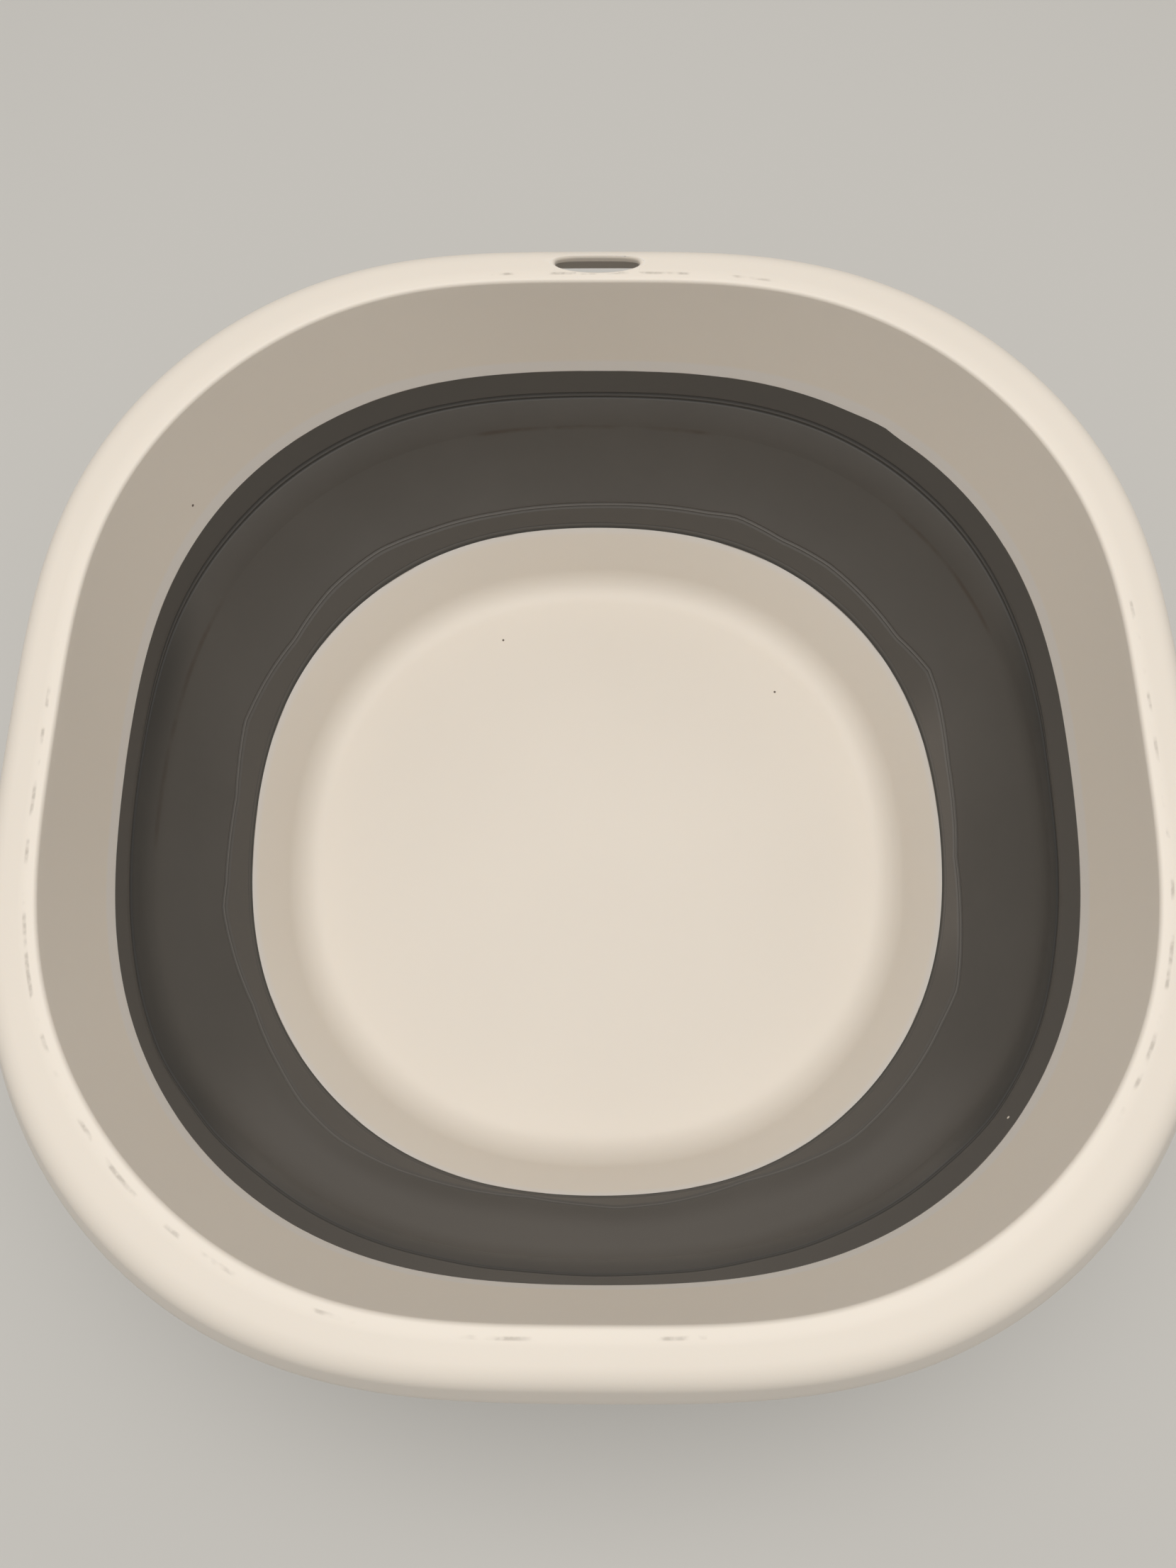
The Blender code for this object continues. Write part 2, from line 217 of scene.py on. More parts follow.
def draw_section(name, section):
    """One vertex, extruded from point to point in the plane that looks along Y."""
    bpy.ops.object.select_all(action="DESELECT")
    bpy.ops.mesh.primitive_plane_add(size=HARD_WALL)
    obj = bpy.context.object
    obj.name = obj.data.name = name
    bpy.ops.object.mode_set(mode="EDIT")
    bpy.ops.mesh.merge(type="CENTER")
    bpy.ops.transform.translate(value=(section[0][0], 0, section[0][1]))
    bpy.ops.object.mode_set(mode="OBJECT")
    bpy.ops.object.mode_set(mode="EDIT")
    for start, end in zip(section, section[1:]):
        step = (end[0] - start[0], 0, end[1] - start[1])
        bpy.ops.mesh.extrude_region_move(TRANSFORM_OT_translate={"value": step})
    bpy.ops.object.mode_set(mode="OBJECT")
    return obj


def runs_of(section):
    """The distance of each point of a section from its first point."""
    runs = [0.0]
    for start, end in zip(section, section[1:]):
        runs.append(runs[-1] + math.dist(start, end))
    return runs


def turned(name, section, closed=True):
    """A section spun round the axis, still round, with its runs kept on its points."""
    obj = draw_section(name, section)
    runs = obj.data.attributes.new("run", "FLOAT", "POINT")
    runs.data.foreach_set("value", runs_of(section))
    bpy.ops.object.mode_set(mode="EDIT")
    if closed:
        bpy.ops.mesh.select_all(action="DESELECT")
        bpy.ops.object.mode_set(mode="OBJECT")
        obj.data.vertices[0].select = True
        obj.data.vertices[-1].select = True
        bpy.ops.object.mode_set(mode="EDIT")
        bpy.ops.mesh.edge_face_add()
    bpy.ops.mesh.select_all(action="SELECT")
    bpy.ops.mesh.spin(steps=STEPS_ROUND, angle=math.tau, center=(0, 0, 0), axis=(0, 0, 1))
    bpy.ops.mesh.select_all(action="SELECT")
    bpy.ops.mesh.remove_doubles(threshold=SAME_POINT)
    bpy.ops.mesh.normals_make_consistent(inside=False)
    bpy.ops.object.mode_set(mode="OBJECT")
    return obj


def finish_shading(obj, degrees=40):
    select_only(obj)
    bpy.ops.object.shade_smooth_by_angle(angle=math.radians(degrees))
    print(obj.name, len(obj.data.polygons), "faces")


print("each section is turned in", STEPS_ROUND, "steps")

# %% [markdown]
# ## Pressing it square
# Spin gives a round basin, and the real one is a rounded square. So each vertex is moved out by
# what its ring reaches at that angle. The dish is nearly round and the rim is the squarest, so
# the reach is listed at four heights, each with what a corner reaches and what the shoulders
# beside it reach, and is blended between them. The flared skirt reaches a little further still.

# %% Say how far each ring reaches
REACH_LEVELS = (
    (FLOOR_TOP, 0.0032, 0.0004),
    (DISH_EDGE, 0.0050, 0.0005),
    (SEAM, 0.0113, 0.0006),
    (RIM_EDGE, 0.0131, 0.0014),
)
FLARE_SHARE = 0.16


def limited(share):
    return min(max(share, 0.0), 1.0)


def reaches(half, height):
    """How far a ring reaches out at its corners, and at the shoulders beside them."""
    corner, shoulder = REACH_LEVELS[0][1:]
    for low, high in zip(REACH_LEVELS, REACH_LEVELS[1:]):
        share = limited((height - low[0]) / (high[0] - low[0]))
        corner += (high[1] - low[1]) * share
        shoulder += (high[2] - low[2]) * share
    centred = min(half / DISH_FLOOR_HALF, 1.0) ** 2
    flare = FLARE_SHARE * max(half - RIM_INNER_HALF, 0.0)
    return centred * corner + flare, centred * shoulder


def pressed(half, height, angle):
    """The distance from the axis of a ring's point at this angle."""
    corner, shoulder = reaches(half, height)
    return (
        half
        + corner * (1 - math.cos(4 * angle)) / 2
        + shoulder * (1 - math.cos(8 * angle)) / 2
    )


print("the seam reaches", round(pressed(*RIM_FOOT, math.pi / 4), 4), "m at its corners")

# %% [markdown]
# ### Small uneven places
# Rubber that has been folded many times no longer keeps an even outline. A bit of the seam is
# swollen at one corner, the band is set back and flatter at its left and right, and the hinge
# stands a millimetre or two further in at some places than at others. The first two are made by
# formula. The hinge is a list of angles and of how many millimetres it stands in there, measured
# against the photograph. It may be the wear of one basin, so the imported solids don't have it.

# %% Move a point to its uneven place
SEAM_SWELL = 0.0010
SWELL_REACH = 0.008
SWELL_START, SWELL_PEAK, SWELL_END = 57.0, 51.2, 49.2
MILLIMETRE = 0.001
SIDE_SET_BACK = 0.0030
SIDE_FLATTER = 0.0008
SIDE_LEAN = math.radians(12)
SIDE_NARROWNESS = 6
SET_BACK_CLIMB = (0.058, 0.026)
RETURN_CLIMB = (0.084, 0.011)
RETURN_SHARE = 0.63
SET_BACK_TOP = LIP_BOTTOM + 0.0006
SET_BACK_FADE = 0.0018
PUSH_CLIMB = (0.080, 0.014)
HINGE_SET_IN = (
    (0, 1.6), (10, 1.1), (20, 1.0), (40, 0.5), (60, 0.0), (140, 0.0), (160, -1.2), (180, -1.1),
    (200, -0.7), (212, -0.9), (222, 0.6), (232, 1.8), (250, 1.6), (260, 1.0), (270, 0.4),
    (280, 0.7), (290, 1.7), (300, 2.3), (310, 2.3), (320, 1.2), (330, 1.1), (340, 1.6),
    (350, 1.5), (360, 1.6),
)  # fmt: skip


def eased(share):
    """Goes from 0 to 1 with a soft start and a soft end."""
    share = limited(share)
    return share * share * (3 - 2 * share)


def climb(height, start, over):
    """0 up to a height, and then eased up to 1 over this much more."""
    return eased((height - start) / over)


def rows_beside(table, degrees):
    """The rows before and after this place, in a table whose rows are (degrees, value)."""
    return next(
        rows for rows in zip(table, table[1:]) if rows[0][0] <= degrees <= rows[1][0]
    )


def hinge_set_in(degrees):
    """How far inside the drawn section the hinge stands at this place round the basin."""
    degrees %= 360
    (low, start), (high, end) = rows_beside(HINGE_SET_IN, degrees)
    share = eased((degrees - low) / (high - low))
    return MILLIMETRE * (start + (end - start) * share)


def as_moulded(half, height, angle):
    """Where a point of the drawn section really lies, as (half, height)."""
    degrees = math.degrees(angle)
    swell = eased((SWELL_START - degrees) / (SWELL_START - SWELL_PEAK))
    swell = min(swell, eased((degrees - SWELL_END) / (SWELL_PEAK - SWELL_END)))
    lifted = height + SEAM_SWELL * swell * eased(1 - abs(height - SEAM) / SWELL_REACH)
    side = math.cos(math.asin(math.sin(angle)) + SIDE_LEAN)
    side = max(side, 0.0) ** SIDE_NARROWNESS
    set_back = climb(height, *SET_BACK_CLIMB) - RETURN_SHARE * climb(height, *RETURN_CLIMB)
    set_back *= eased((SET_BACK_TOP - height) / SET_BACK_FADE)
    roll = limited((BAND_TOP - height) / (BAND_TOP - ROLL_BOTTOM))
    flatter = SIDE_FLATTER * side * 4 * roll * (1 - roll)
    pushed = climb(height, *PUSH_CLIMB) * limited((SEAM - height) / (SEAM - LIP_BOTTOM))
    moved = half + SIDE_SET_BACK * side * set_back + flatter - hinge_set_in(degrees) * pushed
    return moved, lifted


def press_square(obj, shape=None):
    """Moves each vertex of a round piece out to the rounded-square outline."""
    for vertex in obj.data.vertices:
        angle = math.atan2(vertex.co.y, vertex.co.x)
        half, height = as_moulded(math.hypot(vertex.co.x, vertex.co.y), vertex.co.z, angle)
        if shape:
            half, height = shape(half, height, angle)
        radius = pressed(half, height, angle)
        vertex.co = (radius * math.cos(angle), radius * math.sin(angle), height)
    return obj


print("the hinge stands in by up to", max(row[1] for row in HINGE_SET_IN), "mm")

# %% [markdown]
# ## The rim
# The rim is what you hold: an upright inner wall, a crown that turns over, and a short skirt that
# flares out to stiffen it. Its lower edge is thinned on the outside, where the rubber grips it.
# One section holds all of that, so the wall has one even thickness, as a moulding has.

# %% Turn the rim
CROWN_TOP_HALF = RIM_INNER_HALF + 0.0035
SHOULDER_DROP = 0.0014
SKIRT_BOTTOM = (SKIRT_HALF - 0.0003, 0.1357)
UNDER_CROWN_HALF = RIM_INNER_HALF + 0.004
CAP_STEPS = 8


def half_round_cap(face):
    """Points round the end of a wall, from its outer face to its inner face."""
    last = unit(face[-2], face[-1])
    middle = along(face[-1], right_of(last), HARD_WALL / 2)
    cap = []
    for step in range(1, CAP_STEPS):
        turn = math.pi * step / CAP_STEPS
        point = along(middle, right_of(last), -math.cos(turn) * HARD_WALL / 2)
        cap.append(along(point, last, math.sin(turn) * HARD_WALL / 2))
    return cap


def rim_section():
    face = rounded(
        [
            RIM_FOOT,
            (*RIM_CORNER, 0.0014),
            (CROWN_TOP_HALF, RIM_TOP, 0.012),
            (RIM_SHOULDER_HALF, RIM_TOP - SHOULDER_DROP, 0.009),
            SKIRT_BOTTOM,
        ],
        steps=10,
    )
    face = filled_in(face)
    under = moved_over(face, HARD_WALL)
    upward = unit(face[0], face[5])  # the wall is straight here
    outward = right_of(upward)
    shoulder = along(face[0], upward, LAP_HEIGHT)
    inside = [
        point for point in under if point[1] > shoulder[1] or point[0] > UNDER_CROWN_HALF
    ]
    lap = rounded(
        [
            inside[0],
            (*along(shoulder, outward, HARD_WALL), 0.0003),
            (*along(shoulder, outward, LAP_SKIN), 0.0002),
            along(face[0], outward, LAP_SKIN),
        ],
        steps=3,
    )
    return face + half_round_cap(face) + inside[::-1] + lap[1:]


rim_line = rim_section()
rim = press_square(turned("rim_shell", rim_line))
print("rim section:", len(rim_line), "points")

# %% [markdown]
# ### The hanging slot
# A slot goes through the middle of the far side. It is a D: nearly straight on its outer side,
# with a long shallow arc on its inner side, and its mouth is softly rounded. The cutter is a stack
# of circles pressed into that D, each a little wider towards the top, and bridged into one block.
# A Boolean then takes it out of the rim.

# %% Cut the hanging slot
SLOT_WIDTH = 0.0281
SLOT_INNER = 0.1613
SLOT_OUTER = 0.1674
SLOT_WIDEST = 0.1648
SLOT_LIP = 0.0016
SLOT_TOP = RIM_TOP - 0.0006
SLOT_SQUARENESS = 3.2
SLOT_DEPTH = 0.02
SLOT_STEPS = 8
CLEAR_ABOVE = 0.003


def slot_outline(vertex, grow):
    """Where a point of the unit circle lies on the slot's outline, grown all round."""
    side, out = vertex.co.x, vertex.co.y
    power = SLOT_SQUARENESS if out > 0 else 2.0
    reach = SLOT_OUTER - SLOT_WIDEST if out > 0 else SLOT_WIDEST - SLOT_INNER
    x = (SLOT_WIDTH / 2 + grow) * math.copysign(abs(side) ** (2 / power), side)
    y = SLOT_WIDEST + (reach + grow) * math.copysign(abs(out) ** (2 / power), out)
    return x, y


def slot_ring(index, grow, height):
    bpy.ops.mesh.primitive_circle_add(vertices=96, radius=1.0)
    ring = bpy.context.object
    ring.name = f"slot_ring_{index}"
    for vertex in ring.data.vertices:
        vertex.co = (*slot_outline(vertex, grow), height)
    return ring


def make_slot_cutter():
    bpy.ops.object.select_all(action="DESELECT")
    rings = [slot_ring(0, 0.0, RIM_TOP - SLOT_DEPTH)]
    for step in range(SLOT_STEPS + 1):
        turn = math.pi / 2 * step / SLOT_STEPS
        grow, rise = SLOT_LIP * (1 - math.cos(turn)), SLOT_LIP * math.sin(turn)
        rings.append(slot_ring(step + 1, grow, SLOT_TOP - SLOT_LIP + rise))
    rings.append(slot_ring(SLOT_STEPS + 2, SLOT_LIP + 0.0003, RIM_TOP + CLEAR_ABOVE))
    select_only(rings[0])
    for ring in rings:
        ring.select_set(True)
    bpy.ops.object.join()
    bpy.ops.object.mode_set(mode="EDIT")
    bpy.ops.mesh.select_all(action="SELECT")
    bpy.ops.mesh.bridge_edge_loops()
    bpy.ops.mesh.select_all(action="SELECT")
    bpy.ops.mesh.fill_holes(sides=0)
    bpy.ops.mesh.normals_make_consistent(inside=False)
    bpy.ops.object.mode_set(mode="OBJECT")
    return bpy.context.object


def cut(target, cutter, operation="DIFFERENCE"):
    """Applies one exact Boolean and removes the cutter."""
    select_only(target)
    modifier = target.modifiers.new("cut", "BOOLEAN")
    modifier.operation, modifier.solver, modifier.object = operation, "EXACT", cutter
    bpy.ops.object.modifier_apply(modifier=modifier.name)
    bpy.data.objects.remove(cutter)


cut(rim, make_slot_cutter())
finish_shading(rim)

# %% [markdown]
# ## The rubber wall
# Seen from inside, the wall is a plain lip, a thin groove that it folds at, a deep band that
# starts with a soft roll and then curves like a bowl, a second fold, a short lower band and a
# narrow collar. The folds are where the rubber is thin, and a fine rib runs along each. The
# section goes down the inside, round the lap on the dish, up the outside, and over the lap on
# the rim.

# %% Draw the inside of the rubber wall
HINGE = (BAND_TOP + LIP_BOTTOM) / 2
HINGE_RIB = (BAND_TOP_HALF + 0.0001, HINGE)
HINGE_RIB_HALF = 0.0005
HINGE_DEPTH = 0.0006
ROLL_END = (ROLL_HALF, ROLL_BOTTOM)
ROLL_BOW = -0.0008
BAND_BOW = 0.0017
CREASE_LIP = (CREASE_HALF + 0.0005, CREASE + 0.0014)
CREASE_RIB = (CREASE_HALF - 0.0002, CREASE)
COLLAR_GROOVE = DISH_EDGE + 0.0026
TIGHT = 0.0002
SOFT = 0.0003


def inside_of_wall():
    corners = [
        (SEAM_HALF - 0.0001, SEAM - SNUG),
        (LIP_BOTTOM_HALF + 0.0001, LIP_BOTTOM, 0.0004),
        (LIP_BOTTOM_HALF + HINGE_DEPTH, LIP_BOTTOM - 0.0003, TIGHT),
        (BAND_TOP_HALF + HINGE_DEPTH, HINGE + HINGE_RIB_HALF, TIGHT),
        (*HINGE_RIB, SOFT),
        (BAND_TOP_HALF + HINGE_DEPTH, HINGE - HINGE_RIB_HALF, TIGHT),
        (BAND_TOP_HALF + 0.0005, BAND_TOP + 0.0003, TIGHT),
        (BAND_TOP_HALF, BAND_TOP, 0.0004),
    ]
    corners += bowed((BAND_TOP_HALF, BAND_TOP), ROLL_END, ROLL_BOW, 10)[1:]
    corners += [(*ROLL_END, 0.004)]
    corners += bowed(ROLL_END, CREASE_LIP, BAND_BOW, 16)[1:]
    corners += [
        (*CREASE_LIP, 0.0008),
        (CREASE_HALF + 0.0007, CREASE + 0.0006, TIGHT),
        (*CREASE_RIB, SOFT),
        (CREASE_HALF + 0.0002, CREASE - 0.0007, TIGHT),
        (CREASE_HALF - 0.0007, CREASE - 0.0014, 0.0006),
        (DISH_EDGE_HALF + 0.0007, COLLAR_GROOVE + 0.0004, SOFT),
        (DISH_EDGE_HALF + 0.0010, COLLAR_GROOVE, 0.0001),
        (DISH_EDGE_HALF + 0.0005, COLLAR_GROOVE - 0.0004, SOFT),
        (DISH_EDGE_HALF, DISH_EDGE + SNUG),
    ]
    return filled_in(rounded(corners, steps=4), 0.0022)


print("inside of the wall:", len(inside_of_wall()), "points")

# %% [markdown]
# ### The outside and the two laps
# The photograph doesn't show the outside, so this is what such a moulding needs: it follows the
# inside at an even thickness, is thinner at the two folds, and laps over the thinned edges of the
# hard pieces.

# %% Turn the rubber wall
HINGE_BACK = 0.0019


def outside_of_wall():
    lip = LAP_SKIN + SNUG + LAP_COVER
    crease = (CREASE_HALF, CREASE)
    face = bowed((BAND_TOP_HALF, BAND_TOP), ROLL_END, ROLL_BOW, 8)
    face += bowed(ROLL_END, crease, BAND_BOW, 12) + [crease]
    return [
        (LIP_BOTTOM_HALF + lip + 0.0004, SEAM - 0.0005, SOFT),
        (LIP_BOTTOM_HALF + lip, LIP_BOTTOM, SOFT),
        (LIP_BOTTOM_HALF + HINGE_BACK, LIP_BOTTOM - 0.0004, TIGHT),
        (BAND_TOP_HALF + HINGE_BACK, BAND_TOP + 0.0003, TIGHT),
        *moved_over(face, -HARD_WALL),
        (CREASE_HALF + 0.0017, CREASE - 0.0008, SOFT),
        (CREASE_HALF + HARD_WALL - 0.0001, CREASE - 0.0016, SOFT),
    ]


def lap_round(edge, upward, sign):
    """The cover over a thinned edge, on a wall that rises (1) or falls (-1) from that edge."""
    outward = right_of(upward)
    tip = along(edge, upward, sign * (LAP_HEIGHT - 0.0003))
    inner, outer = LAP_SKIN + SNUG, LAP_SKIN + SNUG + LAP_COVER
    return [
        along(along(edge, upward, -sign * SNUG), outward, inner),
        (*along(tip, outward, inner), 0.0001),
        (*along(tip, outward, outer), 0.0005),
    ]


def wall_section():
    foot = lap_round(DISH_LIP, unit(DISH_CORNER, DISH_LIP), -1)
    head = lap_round(RIM_FOOT, unit(RIM_FOOT, RIM_CORNER), 1)
    back = foot + outside_of_wall()[::-1] + head[::-1]
    return inside_of_wall() + filled_in(rounded(back, steps=4))


wall_line = wall_section()
print("wall section:", len(wall_line), "points")

# %% [markdown]
# ### The fold that wanders
# The lower fold isn't a clean ring. Rubber that has been folded many times keeps a crease that
# rises and dips by a few millimetres round the basin. So the fold's height is listed at a number
# of angles, as measured in the photograph, and the rubber near the fold slides up or down its own
# section to follow it.

# %% Let the fold wander
FOLD_HEIGHTS = (
    (0, 0.0448), (10, 0.0461), (21, 0.0503), (25, 0.0513), (33, 0.0467), (41, 0.0471),
    (49, 0.0478), (58, 0.0469), (66, 0.0492), (71, 0.0476), (90, 0.0469), (107, 0.0464),
    (119, 0.0475), (128, 0.0497), (138, 0.0493), (148, 0.0471), (161, 0.0505), (164, 0.0515),
    (176, 0.0482), (190, 0.0502), (194, 0.0520), (200, 0.0499), (209, 0.0469), (219, 0.0490),
    (225, 0.0512), (232, 0.0515), (241, 0.0483), (249, 0.0444), (260, 0.0399), (269, 0.0448),
    (273, 0.0475), (280, 0.0457), (292, 0.0402), (303, 0.0476), (308, 0.0501), (317, 0.0498),
    (329, 0.0502), (334, 0.0517), (341, 0.0486), (355, 0.0436), (360, 0.0448),
)  # fmt: skip
FOLD_REACH_UP, FOLD_REACH_DOWN = 0.026, 0.0105
FOLD_SLOPE_UP, FOLD_SLOPE_DOWN = 0.42, 0.24


def fold_rise(angle):
    """How far the fold lies above its mean height here, with straight runs between kinks."""
    degrees = math.degrees(angle) % 360
    (low, start), (high, end) = rows_beside(FOLD_HEIGHTS, degrees)
    return start + (end - start) * (degrees - low) / (high - low) - CREASE


def follow_fold(half, height, angle):
    if height > CREASE + FOLD_REACH_UP or height < CREASE - FOLD_REACH_DOWN:
        return half, height
    reach = FOLD_REACH_UP if height > CREASE else FOLD_REACH_DOWN
    share = eased(1 - abs(height - CREASE) / reach)
    rise = fold_rise(angle) * share
    slope = FOLD_SLOPE_UP if rise > 0 else FOLD_SLOPE_DOWN
    return half + rise * slope, height + rise


wall = press_square(turned("rubber_wall", wall_line), follow_fold)
finish_shading(wall, degrees=60)

# %% [markdown]
# ## The dish
# The dish is what the basin stands on. Its floor is flat, its wall rises from a wide fillet, and
# its edge is thinned on the outside for the rubber. The photograph doesn't show the underside. A
# low ring there stiffens the floor, as on most basins.

# %% Turn the dish
FOOT_OUTER_TOP, FOOT_OUTER = 0.1043, 0.1040
FOOT_INNER_TOP, FOOT_INNER = 0.1010, 0.1013
FOOT_BOTTOM = 0.0012
FOOT_CORNER = 0.0006
FLOOR_RINGS = 12


def dish_section():
    inside = rounded([(0.0, FLOOR_TOP), (*DISH_CORNER, DISH_FILLET), DISH_LIP], steps=14)
    upward = unit(DISH_CORNER, DISH_LIP)
    outward = right_of(upward)
    shoulder = along(DISH_LIP, upward, -LAP_HEIGHT)
    flat = inside[1][0]
    under = moved_over(inside[1:], HARD_WALL)
    under = [point for point in under if point[1] < shoulder[1]]
    lap = rounded(
        [
            inside[-2],
            (*DISH_LIP, 0.0002),
            (*along(DISH_LIP, outward, LAP_SKIN), 0.0003),
            (*along(shoulder, outward, LAP_SKIN), 0.0002),
            (*along(shoulder, outward, HARD_WALL), 0.0004),
            under[-1],
        ],
        steps=3,
    )
    foot = rounded(
        [
            under[0],
            (FOOT_OUTER_TOP, FLOOR_UNDERSIDE, FOOT_CORNER),
            (FOOT_OUTER, FOOT_BOTTOM, FOOT_CORNER),
            (FOOT_INNER, FOOT_BOTTOM, FOOT_CORNER),
            (FOOT_INNER_TOP, FLOOR_UNDERSIDE, FOOT_CORNER),
            (0.0, FLOOR_UNDERSIDE),
        ],
        steps=4,
    )
    floor = [(flat * ring / FLOOR_RINGS, FLOOR_TOP) for ring in range(FLOOR_RINGS)]
    return floor + filled_in(inside[1:-1]) + lap[1:-1] + filled_in(under[::-1]) + foot[1:]


dish_line = dish_section()
dish = press_square(turned("dish_shell", dish_line, closed=False))
print("dish section:", len(dish_line), "points")

# %% [markdown]
# ### Pads under the dish
# Four soft pads keep the basin from sliding. They are a guess too, as the underside is hidden.
# Each sits in a low collar, so the dish gets four collars and four pockets. A pad starts as a
# cylinder. Two insets turn its lower face into a ring, a narrow ring and a disc, and the narrow
# ring is pushed in to make a groove.

# %% Make the collars and the pads
PAD_PLACE = 0.06067
PAD_RADIUS = 0.0090
PAD_HEIGHT = 0.0040
PAD_GROOVE_IN, PAD_GROOVE_WIDTH, PAD_GROOVE_DEPTH = 0.0022, 0.0004, 0.0005
PAD_EDGE = 0.0003
POCKET_RADIUS = 0.0093
POCKET_BOTTOM, POCKET_TOP = -0.003, FLOOR_UNDERSIDE + 0.0003
COLLAR_RADIUS = 0.0109
COLLAR_TOP = FLOOR_UNDERSIDE + 0.001


def post(name, radius, low, high, centre):
    bpy.ops.object.select_all(action="DESELECT")
    bpy.ops.mesh.primitive_cylinder_add(
        vertices=64, radius=radius, depth=high - low, location=(*centre, (low + high) / 2)
    )
    bpy.ops.object.transform_apply(location=True, rotation=True, scale=True)
    bpy.context.object.name = name
    return bpy.context.object


def faces_down(face):
    return face.normal.z < -0.9


def choose_lower_faces(obj):
    """Selects the faces that look down, and stays in edit mode."""
    bpy.ops.object.mode_set(mode="EDIT")
    bpy.ops.mesh.select_mode(type="FACE")
    bpy.ops.mesh.select_all(action="DESELECT")
    bpy.ops.object.mode_set(mode="OBJECT")
    for face in obj.data.polygons:
        face.select = faces_down(face)
    bpy.ops.object.mode_set(mode="EDIT")


def make_pad(name, centre):
    pad = post(name, PAD_RADIUS, 0.0, PAD_HEIGHT, centre)
    choose_lower_faces(pad)
    bpy.ops.mesh.inset(thickness=PAD_GROOVE_IN)
    bpy.ops.mesh.inset(thickness=PAD_GROOVE_WIDTH)
    bpy.ops.mesh.select_all(action="DESELECT")
    bpy.ops.object.mode_set(mode="OBJECT")
    lower = [face for face in pad.data.polygons if faces_down(face)]
    disc = max(lower, key=lambda face: len(face.vertices))
    groove_radius = PAD_RADIUS - PAD_GROOVE_IN
    for face in lower:
        face.select = face != disc and math.dist(face.center[:2], centre) < groove_radius
    bpy.ops.object.mode_set(mode="EDIT")
    bpy.ops.transform.translate(value=(0, 0, PAD_GROOVE_DEPTH))
    bpy.ops.object.mode_set(mode="OBJECT")
    select_only(pad)
    bevel = pad.modifiers.new("edge", "BEVEL")
    bevel.width, bevel.segments, bevel.angle_limit = PAD_EDGE, 3, math.radians(40)
    bpy.ops.object.modifier_apply(modifier=bevel.name)
    finish_shading(pad)
    return pad


pads = []
for index in range(4):
    turn = math.tau * (index + 0.5) / 4
    centre = (
        math.copysign(PAD_PLACE, math.cos(turn)),
        math.copysign(PAD_PLACE, math.sin(turn)),
    )
    cut(dish, post("collar", COLLAR_RADIUS, FOOT_BOTTOM, COLLAR_TOP, centre), "UNION")
    cut(dish, post("pocket", POCKET_RADIUS, POCKET_BOTTOM, POCKET_TOP, centre))
    pads.append(make_pad(f"pad_{index + 1}", centre))
finish_shading(dish)

# %% [markdown]
# ## Finishes
# Two materials cover the whole basin: a satin off-white plastic and a matt warm-grey rubber. A
# small set of helpers adds nodes and joins them, so that each finish below reads as a list of
# what is on the real surface and, on the rubber, of painted shade and painted highlight. A mark
# on the surface is a share: 1 where it is, 0 elsewhere.

# %% Helpers for node materials
def new_finish(name):
    material = bpy.data.materials.new(name)
    material.use_nodes = True
    return material, material.node_tree, material.node_tree.nodes["Principled BSDF"]


def add_node(tree, kind, inputs=(), **settings):
    """Adds a node, applies its settings, and sets or joins its inputs in order."""
    node = tree.nodes.new(kind)
    for key, value in settings.items():
        setattr(node, key, value)
    for socket, value in inputs:
        if isinstance(value, bpy.types.NodeSocket):
            tree.links.new(value, node.inputs[socket])
        else:
            node.inputs[socket].default_value = value
    return node


def number(tree, operation, first, second=0.0):
    inputs = [(0, first), (1, second)]
    return add_node(tree, "ShaderNodeMath", inputs, operation=operation).outputs[0]


def times(tree, first, *others):
    for other in others:
        first = number(tree, "MULTIPLY", first, other)
    return first


def faded(tree, value, start, end, low=1.0, high=0.0):
    """Goes smoothly from low at start to high at end."""
    inputs = [("Value", value), (1, start), (2, end), (3, low), (4, high)]
    node = add_node(tree, "ShaderNodeMapRange", inputs, interpolation_type="SMOOTHSTEP")
    return node.outputs[0]


def band(tree, value, centre, half_width, soft):
    """1 inside a band, fading to 0 outside it."""
    away = number(tree, "ABSOLUTE", number(tree, "SUBTRACT", value, centre))
    return faded(tree, away, half_width, half_width + soft)


def own_place(tree):
    return add_node(tree, "ShaderNodeTexCoord").outputs["Object"]


def noise(tree, scale, detail=3.0):
    inputs = [("Vector", own_place(tree)), ("Scale", scale), ("Detail", detail)]
    return add_node(tree, "ShaderNodeTexNoise", inputs).outputs[0]


def mixed(tree, share, first, second, blend="MIX"):
    """Two colours mixed, each of them a socket or a tuple."""
    inputs = [(0, share)]
    for socket, color in ((6, first), (7, second)):
        inputs.append((socket, (*color, 1.0) if isinstance(color, tuple) else color))
    settings = {"data_type": "RGBA", "blend_type": blend}
    return add_node(tree, "ShaderNodeMix", inputs, **settings).outputs[2]


def across(tree):
    """The x and y of a point, from the basin's axis."""
    return add_node(tree, "ShaderNodeSeparateXYZ", [(0, own_place(tree))]).outputs[:2]


def around(tree, places, soft):
    """1 at these places round the basin, each (middle, half-width) in degrees from +X."""
    x, y = across(tree)
    turn = times(tree, number(tree, "ARCTAN2", y, x), math.degrees(1))
    turn = number(tree, "FLOORED_MODULO", turn, 360.0)
    share = 0.0
    for middle, half_width in places:
        share = number(tree, "MAXIMUM", share, band(tree, turn, middle, half_width, soft))
    return share


def specks(tree, places, size=0.0006):
    """A small dot at each of these places."""
    here = own_place(tree)
    share = 0.0
    for place in places:
        inputs = [(0, here), (1, place)]
        away = add_node(tree, "ShaderNodeVectorMath", inputs, operation="DISTANCE")
        dot = faded(tree, away.outputs["Value"], size * 0.6, size)
        share = number(tree, "MAXIMUM", share, dot)
    return share


